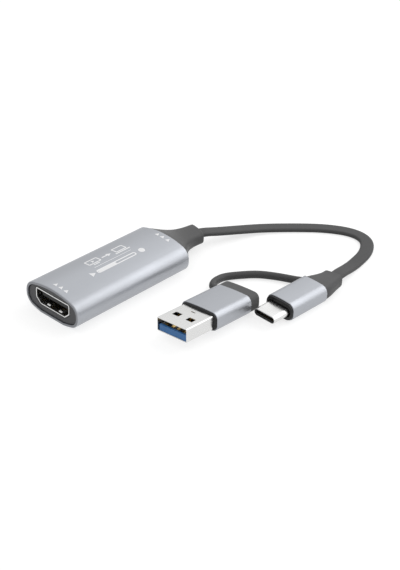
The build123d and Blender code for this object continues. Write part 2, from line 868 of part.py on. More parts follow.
# Planes and places of the adapter
a_front = front_plane((*adapter_place, adapter_middle), adapter_yaw, adapter_tip, adapter_roll)
a_rear = a_front.offset(-adapter_length)
a_tip = a_front.offset(a_shell_reach)
a_back = a_rear.offset(-cap_length)
a_inner = a_shell_height / 2 - a_shell_wall
a_tongue_top = a_tongue_thickness - a_inner
a_board_thickness = c_tongue_thickness
a_board_start = a_shell_depth + a_contact_thickness + c_mould_gap
a_board_end = adapter_length + cap_length - c_mouth_depth
cap_way = -a_front.x_dir
cap_side = adapter_width / 2 - cap_inset
tether_pivot = a_rear.offset(-cap_boss_setback).origin + cap_way * (cap_side + cap_boss_rise)
tether_pivot -= a_front.y_dir * tether_cap_drop

# The aluminium sleeve of the adapter
with BuildPart() as adapter_housing:
    with BuildSketch(a_front):
        add(adapter_outline(0))
    extrude(amount=-adapter_length)
    chamfer(adapter_housing.faces().filter_by(a_front).edges(), plug_edge)
    with BuildSketch(a_front):
        add(adapter_outline(plug_wall))
    extrude(amount=-adapter_length, mode=Mode.SUBTRACT)
save(adapter_housing.part, "adapter_housing")

# The black insert in the adapter's front
with BuildPart() as adapter_insert:
    with BuildSketch(a_front):
        add(adapter_outline(insert_inset))
    extrude(amount=a_insert_flange)
    fillet(adapter_insert.faces().sort_by(Axis.Y)[0].edges(), insert_edge)
    with BuildSketch(a_front):
        add(adapter_outline(plug_wall + c_mould_gap))
    extrude(amount=-insert_depth)
    with BuildSketch(a_front.offset(a_insert_flange)):
        add(a_shell_outline(-c_mould_gap))
    extrude(amount=-(a_insert_flange + insert_depth), mode=Mode.SUBTRACT)
save(adapter_insert.part, "adapter_insert")

# The metal plug of the adapter, with two windows in each broad wall and a short slot on top
with BuildPart() as type_a_plug_shell:
    with BuildSketch(a_tip):
        add(a_shell_outline(0))
    extrude(amount=-(a_shell_reach + a_shell_depth))
    with BuildSketch(a_tip):
        add(a_shell_outline(a_shell_wall))
    extrude(amount=-(a_shell_reach + a_shell_depth), mode=Mode.SUBTRACT)
    with BuildSketch(level_plane(a_tip)):
        for x in (-a_window_spacing / 2, a_window_spacing / 2):
            with Locations((x, a_window_setback)):
                Rectangle(a_window_width, a_window_length)
    extrude(amount=a_shell_height, both=True, mode=Mode.SUBTRACT)
    with BuildSketch(level_plane(a_tip)):
        with Locations((0, a_slot_setback)):
            Rectangle(a_slot_width, a_slot_length)
    extrude(amount=a_shell_height, mode=Mode.SUBTRACT)
save(type_a_plug_shell.part, "type_a_plug_shell")

# The places of its contacts: a flat front row and a rear row with a raised spring
a_row = a_tongue_top + a_contact_thickness / 2
a_bend = a_shell_reach + a_shell_depth + a_contact_thickness / 2
a_foot = (a_board_thickness + a_contact_thickness) / 2
a_front_row = [(x, a_front_width) for x in spread(a_front_contacts, a_pitch)]
a_rear_row = [(x, a_rear_width) for x in spread(a_rear_contacts, a_pitch)]
with BuildPart() as type_a_contacts:
    for x, width in a_front_row:
        with BuildSketch(side_plane(a_tip).offset(x)):
            with BuildLine():
                Polyline(
                    (a_front_setback, a_row),
                    (a_bend, a_row),
                    (a_bend, a_foot),
                    (a_bend + a_contact_foot, a_foot),
                )
            trace(line_width=a_contact_thickness)
        extrude(amount=width / 2, both=True)
    for x, width in a_rear_row:
        with BuildSketch(side_plane(a_tip).offset(x)):
            with BuildLine():
                Polyline(
                    (a_rear_setback, a_row),
                    (a_rear_setback + a_rear_arch / 2, a_row + a_rear_rise),
                    (a_rear_setback + a_rear_arch, a_row),
                    (a_bend, a_row),
                    (a_bend, a_foot),
                    (a_bend + a_contact_foot, a_foot),
                )
            trace(line_width=a_contact_thickness)
        extrude(amount=width / 2, both=True)
save(type_a_contacts.part, "type_a_contacts")

# The blue tongue, with the block behind it that fills the metal plug
with BuildPart() as type_a_tongue:
    with BuildSketch(a_tip.offset(-a_tongue_setback)):
        with Locations((0, a_tongue_top - a_tongue_thickness / 2)):
            Rectangle(a_tongue_width, a_tongue_thickness)
    extrude(amount=a_tongue_setback - a_shell_reach - a_shell_depth)
    with BuildSketch(a_front.offset(a_block_length - a_shell_depth)):
        add(a_shell_outline(a_shell_wall))
    extrude(amount=-a_block_length)
    with BuildSketch(a_front.offset(a_block_length - a_shell_depth)):
        for x, width in a_front_row + a_rear_row:
            with Locations((x, a_row + slot_clearance / 2)):
                Rectangle(width + 2 * slot_clearance, a_contact_thickness + slot_clearance)
    extrude(amount=-a_block_length, mode=Mode.SUBTRACT)
save(type_a_tongue.part, "type_a_tongue")

# The adapter's board, as thick as the tongue of the socket that straddles its rear edge
with BuildPart() as adapter_board:
    with BuildSketch(level_plane(a_front)):
        with Locations((0, (a_board_start + a_board_end) / 2)):
            Rectangle(a_board_width, a_board_end - a_board_start)
    extrude(amount=a_board_thickness / 2, both=True)
save(adapter_board.part, "adapter_board")

# The chip on that board, with a row of small parts behind it
a_parts_plane = level_plane(a_front, a_board_thickness / 2)
a_chip_depth = a_board_start + a_contact_foot + a_chip_size / 2 + fit_gap
a_row_depth = a_chip_depth + a_chip_size / 2 + a_part_length / 2 + 2 * fit_gap
with BuildPart() as adapter_board_parts:
    with BuildSketch(a_parts_plane):
        with Locations((0, a_chip_depth)):
            Rectangle(a_chip_size, a_chip_size)
    extrude(amount=a_chip_height)
    with BuildSketch(a_parts_plane):
        for x in spread(a_part_count, a_part_pitch):
            with Locations((x, a_row_depth)):
                Rectangle(a_part_width, a_part_length)
    extrude(amount=a_part_height)
save(adapter_board_parts.part, "adapter_board_parts")

# The metal shell of the type C socket in the adapter's rear
c_mouth_width = c_shell_width + 2 * c_mouth_clearance
c_mouth_height = c_shell_height + 2 * c_mouth_clearance
c_mouth_outer = (c_mouth_width + 2 * c_mouth_wall, c_mouth_height + 2 * c_mouth_wall)
with BuildPart() as adapter_socket_shell:
    with BuildSketch(a_back):
        SlotOverall(*c_mouth_outer)
        SlotOverall(c_mouth_width, c_mouth_height, mode=Mode.SUBTRACT)
    extrude(amount=c_mouth_depth)
save(adapter_socket_shell.part, "adapter_socket_shell")

# The places of that socket's contacts, on both faces of its tongue
c_face = (c_tongue_thickness + c_contact_thickness) / 2
c_socket_rows = [(x, side * c_face) for x in spread(c_contact_count, c_contact_pitch) for side in (-1, 1)]
with BuildPart() as adapter_socket_contacts:
    with BuildSketch(a_back.offset(c_tongue_setback + c_contact_setback)):
        for x, row in c_socket_rows:
            with Locations((x, row)):
                Rectangle(c_contact_width, c_contact_thickness)
    extrude(amount=c_mouth_depth - c_tongue_setback - c_contact_setback + c_socket_tail)
save(adapter_socket_contacts.part, "adapter_socket_contacts")

# The tongue of that socket, with the block that closes the shell behind it
with BuildPart() as adapter_socket_tongue:
    with BuildSketch(a_back.offset(c_tongue_setback)):
        Rectangle(c_tongue_width, c_tongue_thickness)
    extrude(amount=c_mouth_depth - c_tongue_setback)
    with BuildSketch(a_back.offset(c_mouth_depth - c_block_length)):
        SlotOverall(c_mouth_width, c_mouth_height)
    extrude(amount=c_block_length)
    with BuildSketch(a_back.offset(c_mouth_depth - c_block_length)):
        for x, row in c_socket_rows:
            with Locations((x, row)):
                Rectangle(c_contact_width, c_contact_thickness)
        offset(amount=slot_clearance)
        Rectangle(c_tongue_width, c_tongue_thickness, mode=Mode.SUBTRACT)
    extrude(amount=c_block_length, mode=Mode.SUBTRACT)
save(adapter_socket_tongue.part, "adapter_socket_tongue")

# The moulding that fills the adapter's sleeve
a_cavity_top = a_board_thickness / 2 + a_chip_height + c_mould_gap
a_cavity_base = -(a_board_thickness / 2 + c_contact_thickness + c_mould_gap)
with BuildPart() as adapter_mould:
    with BuildSketch(a_front.offset(-insert_depth)):
        add(adapter_outline(plug_wall + c_mould_gap))
    extrude(amount=insert_depth + cap_plug - adapter_length)
    with BuildSketch(a_front.offset(-insert_depth)):
        add(a_shell_outline(-c_mould_gap))
    extrude(amount=insert_depth - a_shell_depth - c_mould_gap, mode=Mode.SUBTRACT)
    with BuildSketch(a_front.offset(-a_shell_depth)):
        with Locations((0, (a_cavity_top + a_cavity_base) / 2)):
            Rectangle(a_board_width + 2 * c_mould_gap, a_cavity_top - a_cavity_base)
    extrude(amount=a_shell_depth - a_board_end, mode=Mode.SUBTRACT)
    with BuildSketch(a_front.offset(-a_board_end)):
        SlotOverall(*c_mouth_outer)
        offset(amount=c_mould_gap)
    extrude(amount=-c_mouth_depth, mode=Mode.SUBTRACT)
save(adapter_mould.part, "adapter_mould")

# The adapter's soft rear cap, with the mouth of the socket and the pocket for the tether
with BuildPart() as adapter_rear_cap:
    with BuildSketch(a_rear):
        add(adapter_outline(cap_inset))
    extrude(amount=-cap_length)
    fillet(adapter_rear_cap.faces().sort_by(Axis.Y)[-1].edges(), cap_round)
    with BuildSketch(a_rear):
        add(adapter_outline(plug_wall + c_mould_gap))
    extrude(amount=cap_plug)
    with BuildSketch(Plane(origin=tether_pivot, z_dir=cap_way)):
        Circle(cap_boss_radius)
    extrude(amount=-(cap_boss_rise + cap_boss_radius))
    with BuildSketch(a_back):
        SlotOverall(*c_mouth_outer)
        offset(amount=c_mouth_margin)
    extrude(amount=cap_length + cap_plug, mode=Mode.SUBTRACT)
    with Locations(Plane(origin=tether_pivot)):
        Sphere(tether_diameter / 2 + tether_pocket_gap, mode=Mode.SUBTRACT)
save(adapter_rear_cap.part, "adapter_rear_cap")


# The free run of the flat cable, with a round end that turns in the neck's pocket
cable_points = [cable_exit, exit_ahead, *(Vector(*place) for place in cable_turns)]
cable_points += [c_neck_end + c_neck_way * cable_end_lead, c_neck_end]
cable_radii = corner_radii(cable_points)
with BuildPart() as main_cable:
    with BuildLine() as cable_line:
        FilletPolyline(*cable_points, radius=cable_radii)
    cable_path = cable_line.wire()
    with BuildSketch(start_plane(cable_points)):
        SlotOverall(cable_width, cable_thickness)
    sweep(binormal=cable_path.moved(Location((0, 0, cable_width))))
    with BuildSketch(start_plane(cable_points)):
        SlotOverall(cable_width, cable_thickness)
        with Locations((cable_width / 2, 0)):
            Rectangle(cable_width, cable_thickness, mode=Mode.INTERSECT)
    revolve(axis=Axis(cable_exit, (0, 0, -1)), revolution_arc=180)
save(main_cable.part, "main_cable")

# The free run of the tether, with a round end that turns in the cap's pocket
tether_points = [tether_pivot, tether_pivot + cap_way * tether_cap_lead]
tether_points += [Vector(*place) for place in tether_turns]
tether_points += [tether_root + tether_way * tether_lead, tether_root]
tether_radii = corner_radii(tether_points)
with BuildPart() as tether:
    with BuildLine() as tether_line:
        FilletPolyline(*tether_points, radius=tether_radii)
    tether_path = tether_line.wire()
    with BuildSketch(start_plane(tether_points)):
        Circle(tether_diameter / 2)
    sweep()
    with Locations(Plane(origin=tether_pivot, z_dir=-cap_way)):
        Sphere(tether_diameter / 2, arc_size1=0)
save(tether.part, "tether")

cable_section = cable_thickness * (cable_width - cable_thickness) + pi * cable_thickness**2 / 4
tether_section = pi * tether_diameter**2 / 4
for name, piece, path, section, radii in (
    ("main_cable", main_cable.part, cable_path, cable_section, cable_radii),
    ("tether", tether.part, tether_path, tether_section, tether_radii),
):
    print(name, "radii", [round(radius, 1) for radius in radii], "length", round(path.length, 1))
    print(name, "volume", round(piece.volume), "against section by length", round(section * path.length))
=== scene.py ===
"""Looks of a video capture box on a short flat cable, with its two plugs.

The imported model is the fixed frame. This script gives each of its pieces a finish, replaces the
two cords with smooth ones, prints the marks on the box, and sets up the floor, the lights and the
camera. Lengths are in metres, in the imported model's frame. The cords' routes, the places of the
plugs and the print are written in millimetres, and MM takes them to metres.
"""

import logging
import math
from dataclasses import dataclass, field
from enum import Enum

import bmesh
import bpy
from mathutils import Euler, Matrix, Vector


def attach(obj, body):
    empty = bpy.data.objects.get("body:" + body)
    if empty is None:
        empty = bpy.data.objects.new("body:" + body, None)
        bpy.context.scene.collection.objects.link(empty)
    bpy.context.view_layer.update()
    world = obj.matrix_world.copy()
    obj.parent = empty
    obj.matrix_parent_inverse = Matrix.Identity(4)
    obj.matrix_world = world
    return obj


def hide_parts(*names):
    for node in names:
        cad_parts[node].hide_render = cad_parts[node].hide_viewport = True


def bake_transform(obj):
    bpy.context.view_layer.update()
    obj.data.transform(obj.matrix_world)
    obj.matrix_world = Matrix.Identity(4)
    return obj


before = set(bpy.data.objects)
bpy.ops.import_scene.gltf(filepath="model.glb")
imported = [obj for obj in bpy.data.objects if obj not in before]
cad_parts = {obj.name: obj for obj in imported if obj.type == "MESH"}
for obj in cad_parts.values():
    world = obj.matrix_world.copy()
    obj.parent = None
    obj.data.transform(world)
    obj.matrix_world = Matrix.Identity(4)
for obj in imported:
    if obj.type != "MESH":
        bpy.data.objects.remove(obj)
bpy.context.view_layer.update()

logging.basicConfig(level=logging.INFO, format="%(message)s")
log = logging.getLogger("capture_box")

MM = 0.001
UP = Vector((0.0, 0.0, 1.0))
TRIANGLE = 3
WHITE = (1.0, 1.0, 1.0)
# A coordinate that no piece reaches
FAR = 1.0

Pair = tuple[float, float]
Point = tuple[float, float, float]
Colour = tuple[float, float, float]
Socket = bpy.types.NodeSocket
Node = bpy.types.Node
Material = bpy.types.Material
Mesh = bmesh.types.BMesh
Edges = list[bmesh.types.BMEdge]


class Body(Enum):
    """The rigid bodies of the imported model."""

    BOX = "capture_box"
    PLUG = "type_c_plug"
    ADAPTER = "adapter"


class Slot(Enum):
    """The name of a material slot. No piece is given it here."""

    JACKET = "cable_jacket"


class Ray(Enum):
    """The rays that see the white background, as the Light Path node names them."""

    GLOSSY = "Is Glossy Ray"
    TRANSMISSION = "Is Transmission Ray"
    CAMERA = "Is Camera Ray"


@dataclass(frozen=True)
class Pose:
    """How a piece lies in the model.

    Attributes:
        origin: The place of its own origin.
        yaw: Its turn over the table, in degrees.
        tip: How far its nose dips, in degrees.
        roll: How far it leans, in degrees.
    """

    origin: Vector
    yaw: float
    tip: float = 0.0
    roll: float = 0.0

    def turn(self) -> Euler:
        """Works out how the piece is turned.

        Returns:
            The turn from its own frame to the model's.
        """
        yaw = Matrix.Rotation(-math.radians(self.yaw), 3, "Z")
        tip = Matrix.Rotation(-math.radians(self.tip), 3, "X")
        roll = Matrix.Rotation(-math.radians(self.roll), 3, "Y")
        return (yaw @ tip @ roll).to_euler()


# Node trees and shaders


class Graph:
    """A node tree, with short ways to add nodes and to join them."""

    def __init__(self, tree: bpy.types.NodeTree) -> None:
        """Keeps the tree that the nodes go into."""
        self.tree = tree

    def node(self, kind: str, **settings: object) -> Node:
        """Adds a node.

        Args:
            kind: The node's type.
            **settings: Its properties.

        Returns:
            The new node.
        """
        made = self.tree.nodes.new(kind)
        for key, value in settings.items():
            setattr(made, key, value)
        return made

    def link(self, source: Socket, target: Socket) -> None:
        """Joins two sockets."""
        self.tree.links.new(source, target)

    def maths(self, operation: str, first: Socket, second: Socket, clamp: bool = False) -> Socket:
        """Works out one value from two.

        Args:
            operation: The name of the sum, as the Math node has it.
            first: The first value.
            second: The second value.
            clamp: Whether the result is held between 0 and 1.

        Returns:
            The result.
        """
        made = self.node("ShaderNodeMath", operation=operation, use_clamp=clamp)
        self.link(first, made.inputs[0])
        self.link(second, made.inputs[1])
        return made.outputs[0]

    def spread(self, value: Socket, target: Pair, source: Pair = (0.0, 1.0)) -> Socket:
        """Takes a value from one range to another, and holds it there.

        Args:
            value: The value.
            target: The range that it is taken to.
            source: The range that it comes from.

        Returns:
            The value in the new range.
        """
        made = self.node("ShaderNodeMapRange")
        for side, (low, high) in (("From", source), ("To", target)):
            made.inputs[side + " Min"].default_value = low
            made.inputs[side + " Max"].default_value = high
        self.link(value, made.inputs["Value"])
        return made.outputs["Result"]


class NodeGroup(Graph):
    """A shader node group that takes coordinates and puts out masks or heights."""

    def __init__(self, name: str, inputs: dict[str, float], outputs: tuple[str, ...]) -> None:
        """Makes the group and its sockets.

        Args:
            name: The group's name.
            inputs: The default value by name, of the inputs beside Vector.
            outputs: The names of the outputs.
        """
        super().__init__(bpy.data.node_groups.new(name, "ShaderNodeTree"))
        sockets = self.tree.interface
        sockets.new_socket("Vector", in_out="INPUT", socket_type="NodeSocketVector")
        for label, default in inputs.items():
            made = sockets.new_socket(label, in_out="INPUT", socket_type="NodeSocketFloat")
            made.default_value = default
        for label in outputs:
            sockets.new_socket(label, in_out="OUTPUT", socket_type="NodeSocketFloat")
        self.given = self.node("NodeGroupInput").outputs
        self.result = self.node("NodeGroupOutput").inputs


def grain_group() -> bpy.types.NodeTree:
    """A fine even grain with slow cloudiness under it.

    Returns:
        The group, with inputs Vector, Grain and Cloud and outputs Height and Mask.
    """
    made = NodeGroup("fine_grain", {"Grain": 4000.0, "Cloud": 120.0}, ("Height", "Mask"))
    for scale, detail, output in (("Grain", 3.0, "Height"), ("Cloud", 2.0, "Mask")):
        texture = made.node("ShaderNodeTexNoise")
        texture.inputs["Detail"].default_value = detail
        made.link(made.given["Vector"], texture.inputs["Vector"])
        made.link(made.given[scale], texture.inputs["Scale"])
        made.link(texture.outputs["Fac"], made.result[output])
    return made.tree


def rim_group() -> bpy.types.NodeTree:
    """A mask that is 1 outside a range along Y, such as at the two ends of a sleeve.

    Returns:
        The group, with inputs Vector, Low, High and Blur and output Mask.
    """
    made = NodeGroup("rim", {"Low": 0.0, "High": 0.0, "Blur": 0.1 * MM}, ("Mask",))
    split = made.node("ShaderNodeSeparateXYZ")
    made.link(made.given["Vector"], split.inputs[0])
    low, high, along = made.given["Low"], made.given["High"], split.outputs["Y"]
    below, above = (
        made.maths("DIVIDE", made.maths("SUBTRACT", more, less), made.given["Blur"], clamp=True)
        for more, less in ((low, along), (along, high))
    )
    made.link(made.maths("MAXIMUM", below, above), made.result["Mask"])
    return made.tree


GRAIN = grain_group()
RIM = rim_group()


class Shader(Graph):
    """A material with one Principled shader, and the nodes that vary it."""

    # The range that most of the noise lies in
    NOISE = (0.3, 0.7)

    def __init__(self, name: str) -> None:
        """Makes an empty material.

        Args:
            name: The material's name.
        """
        self.material = bpy.data.materials.new(name)
        self.material.use_nodes = True
        super().__init__(self.material.node_tree)
        self.surface = self.tree.nodes["Principled BSDF"]

    def plain(self, **values: float | Colour) -> None:
        """Sets sockets that are the same all over.

        Args:
            **values: The value by the socket's name, with its spaces as underscores.
        """
        for key, value in values.items():
            socket = self.surface.inputs[key.replace("_", " ")]
            socket.default_value = (*value, 1.0) if isinstance(value, tuple) else value

    def place(self, pose: Pose | None = None) -> Socket:
        """Gives Object coordinates, in a piece's own frame where one is named.

        Args:
            pose: How the piece lies.

        Returns:
            The coordinates.
        """
        coordinates = self.node("ShaderNodeTexCoord").outputs["Object"]
        if pose is None:
            return coordinates
        turn = self.node("ShaderNodeMapping", vector_type="TEXTURE")
        turn.inputs["Location"].default_value = pose.origin
        turn.inputs["Rotation"].default_value = pose.turn()
        self.link(coordinates, turn.inputs["Vector"])
        return turn.outputs["Vector"]

    def group(self, tree: bpy.types.NodeTree, vector: Socket, **values: float) -> Node:
        """Places a node group.

        Args:
            tree: The group.
            vector: The coordinates that it works on.
            **values: Its other inputs.

        Returns:
            The group's node.
        """
        made = self.node("ShaderNodeGroup", node_tree=tree)
        self.link(vector, made.inputs["Vector"])
        for key, value in values.items():
            made.inputs[key].default_value = value
        return made

    def rough(self, mask: Socket, reach: Pair) -> None:
        """Spreads a mask over a range of roughness."""
        self.link(self.spread(mask, reach, self.NOISE), self.surface.inputs["Roughness"])

    def cover(self, mask: Socket, under: Socket | Colour, over: Colour) -> Socket:
        """Lays one colour over another.

        Args:
            mask: How much of the upper colour shows.
            under: The lower colour.
            over: The upper colour.

        Returns:
            The mixed colour.
        """
        mix = self.node("ShaderNodeMix", data_type="RGBA")
        self.link(mask, mix.inputs["Factor"])
        if isinstance(under, tuple):
            mix.inputs["A"].default_value = (*under, 1.0)
        else:
            self.link(under, mix.inputs["A"])
        mix.inputs["B"].default_value = (*over, 1.0)
        return mix.outputs["Result"]

    def bump(self, height: Socket, strength: float, distance: float) -> None:
        """Tilts the surface's normals.

        Args:
            height: The height that they follow.
            strength: How strongly they do.
            distance: How deep the height is.
        """
        made = self.node("ShaderNodeBump")
        made.inputs["Strength"].default_value = strength
        made.inputs["Distance"].default_value = distance
        self.link(height, made.inputs["Height"])
        self.link(made.outputs["Normal"], self.surface.inputs["Normal"])


# Finishes


@dataclass(frozen=True)
class Finish:
    """A surface whose colour and roughness cloud slowly, under a fine grain.

    Attributes:
        name: The material's name.
        colour: Its colour.
        clouded: The colour that it clouds to.
        roughness: Its lowest and highest roughness.
        grain: The scale of the grain.
        cloud: The scale of the clouding.
        relief: How strongly the grain shows.
        depth: The depth of the grain.
        metallic: How much of it is metal.
        specular: The strength of its shine where it is not metal.
    """

    name: str
    colour: Colour
    clouded: Colour
    roughness: Pair
    grain: float
    cloud: float
    relief: float
    depth: float
    metallic: float = 0.0
    specular: float = 0.5

    def material(self) -> Material:
        """Builds the material.

        Returns:
            The new material.
        """
        shader = Shader(self.name)
        vector = self.coordinates(shader)
        grain = shader.group(GRAIN, vector, Grain=self.grain, Cloud=self.cloud)
        tint = shader.cover(grain.outputs["Mask"], self.colour, self.clouded)
        shader.link(self.shaded(shader, vector, tint), shader.surface.inputs["Base Color"])
        shader.rough(grain.outputs["Mask"], self.roughness)
        shader.bump(grain.outputs["Height"], self.relief, self.depth)
        shader.plain(Metallic=self.metallic, Specular_IOR_Level=self.specular)
        return shader.material

    def coordinates(self, shader: Shader) -> Socket:
        """Where the grain is laid out."""
        return shader.place()

    def shaded(self, shader: Shader, vector: Socket, tint: Socket) -> Socket:
        """The colour as it is. The sleeves' darkened cut edges and a moulding's painted shade
        change it.
        """
        return tint


@dataclass(frozen=True)
class AnodisedSleeve(Finish):
    """Bead blasted and anodised aluminium, with its real cut edges at both ends painted darker as a
    painted dark reflection.

    Attributes:
        low: Where the sleeve begins, along its own y.
        high: Where it ends.
        pose: How it lies, or None where its frame is the model's.
        edge: The colour of the cut edges, darkened as a painted dark reflection.
        edge_width: Their width.
        edge_blur: Over what length they pass into the sleeve's colour.
    """

    colour: Colour = (0.400, 0.415, 0.445)
    clouded: Colour = (0.425, 0.440, 0.470)
    roughness: Pair = (0.36, 0.43)
    grain: float = 5200.0
    cloud: float = 90.0
    relief: float = 0.25
    depth: float = 0.01 * MM
    metallic: float = 0.92
    low: float = 0.0
    high: float = 0.0
    pose: Pose | None = None
    # The cut faces are real, and their dark colour is a painted dark reflection
    edge: Colour = (0.20, 0.205, 0.22)
    edge_width: float = 0.04 * MM
    edge_blur: float = 0.05 * MM

    def coordinates(self, shader: Shader) -> Socket:
        """The sleeve's own frame."""
        return shader.place(self.pose)

    def shaded(self, shader: Shader, vector: Socket, tint: Socket) -> Socket:
        """Lays the cut edges, darkened as a painted dark reflection, over the colour.

        Args:
            shader: The material's shader.
            vector: The sleeve's own frame.
            tint: The colour.

        Returns:
            The colour with its edges.
        """
        low, high = self.low + self.edge_width, self.high - self.edge_width
        rim = shader.group(RIM, vector, Low=low, High=high, Blur=self.edge_blur)
        return shader.cover(rim.outputs["Mask"], tint, self.edge)


@dataclass(frozen=True)
class PlatedMetal(Finish):
    """Stamped sheet metal under bright nickel or gold plate."""

    roughness: Pair = (0.22, 0.31)
    grain: float = 900.0
    cloud: float = 260.0
    relief: float = 0.04
    depth: float = 0.004 * MM
    metallic: float = 1.0


@dataclass(frozen=True)
class Moulded(Finish):
    """Moulded plastic or rubber with a fine spark-eroded skin."""

    grain: float = 3000.0
    cloud: float = 180.0
    relief: float = 0.35
    depth: float = 0.012 * MM


@dataclass(frozen=True)
class DeepShadeMoulding(Moulded):
    """A moulding painted black behind its front, as painted shade deep inside a plug, such as the
    tongue of a plug.

    Attributes:
        pose: How it lies.
        front: Where the painted shade begins, along its own y.
        painted_shade: The colour of the painted shade deep in the plug.
    """

    pose: Pose | None = None
    front: float = 0.0
    painted_shade: Colour = (0.006, 0.008, 0.014)

    def shaded(self, shader: Shader, vector: Socket, tint: Socket) -> Socket:
        """The colour, with painted shade: black behind the front, as deep in the plug."""
        # Painted shade: behind its front the moulding is coloured black, as shade deep in the plug
        rim = shader.group(RIM, shader.place(self.pose), Low=-FAR, High=self.front)
        return shader.cover(rim.outputs["Mask"], tint, self.painted_shade)


class Look(Enum):
    """The finishes that several pieces share."""

    NICKEL = PlatedMetal("nickel_plate", (0.72, 0.72, 0.715), (0.67, 0.67, 0.665))
    GOLD = PlatedMetal("gold_plate", (0.83, 0.60, 0.24), (0.74, 0.50, 0.18))
    SOFT = Moulded(
        "soft_grey_moulding", (0.080, 0.080, 0.081), (0.095, 0.095, 0.096), (0.42, 0.52),
        specular=0.22,
    )
    JACKET = Moulded(
        "jacket_grey", (0.062, 0.062, 0.063), (0.074, 0.074, 0.075), (0.40, 0.50),
        grain=2200.0, specular=0.22,
    )
    BEZEL = Moulded("bezel_grey", (0.055, 0.055, 0.059), (0.068, 0.068, 0.072), (0.40, 0.52))
    INSERT = Moulded(
        "insert_dark", (0.008, 0.008, 0.009), (0.012, 0.012, 0.013), (0.30, 0.40), specular=0.35
    )
    BLACK = Moulded(
        "black_moulding", (0.008, 0.008, 0.008), (0.012, 0.012, 0.012), (0.35, 0.5), specular=0.35
    )
    MOULD = Moulded("inner_moulding", (0.55, 0.55, 0.53), (0.62, 0.62, 0.60), (0.5, 0.6))
    BOARD = Moulded("board_lacquer", (0.010, 0.10, 0.045), (0.014, 0.13, 0.06), (0.22, 0.34))
    CHIP = Moulded("chip_resin", (0.020, 0.020, 0.022), (0.028, 0.028, 0.030), (0.45, 0.6))
    CERAMIC = Moulded("ceramic_tan", (0.30, 0.22, 0.14), (0.40, 0.31, 0.20), (0.4, 0.55))
    WIRE = Moulded("wire_insulation", (0.45, 0.05, 0.04), (0.52, 0.07, 0.05), (0.3, 0.4))
    PRINT = Moulded("print_white", (0.80, 0.80, 0.81), (0.86, 0.86, 0.87), (0.45, 0.55))


def dress(nodes: list[str], material: Material) -> None:
    """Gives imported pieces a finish.

    Args:
        nodes: The names of the pieces.
        material: The finish.
    """
    for name in nodes:
        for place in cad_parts[name].material_slots:
            place.material = material
        log.info("%s: %s", name, material.name)


def finished(name: str, mesh: Mesh, material: Material) -> bpy.types.Object:
    """Turns a bmesh into an object in the scene.

    Args:
        name: The object's name.
        mesh: The shape, in the model's frame. It is freed.
        material: The finish.

    Returns:
        The new object.
    """
    bmesh.ops.recalc_face_normals(mesh, faces=mesh.faces)
    data = bpy.data.meshes.new(name)
    mesh.to_mesh(data)
    mesh.free()
    data.materials.append(material)
    made = bpy.data.objects.new(name, data)
    bpy.context.scene.collection.objects.link(made)
    log.info("%s: %d faces", name, len(data.polygons))
    return made


# The cords


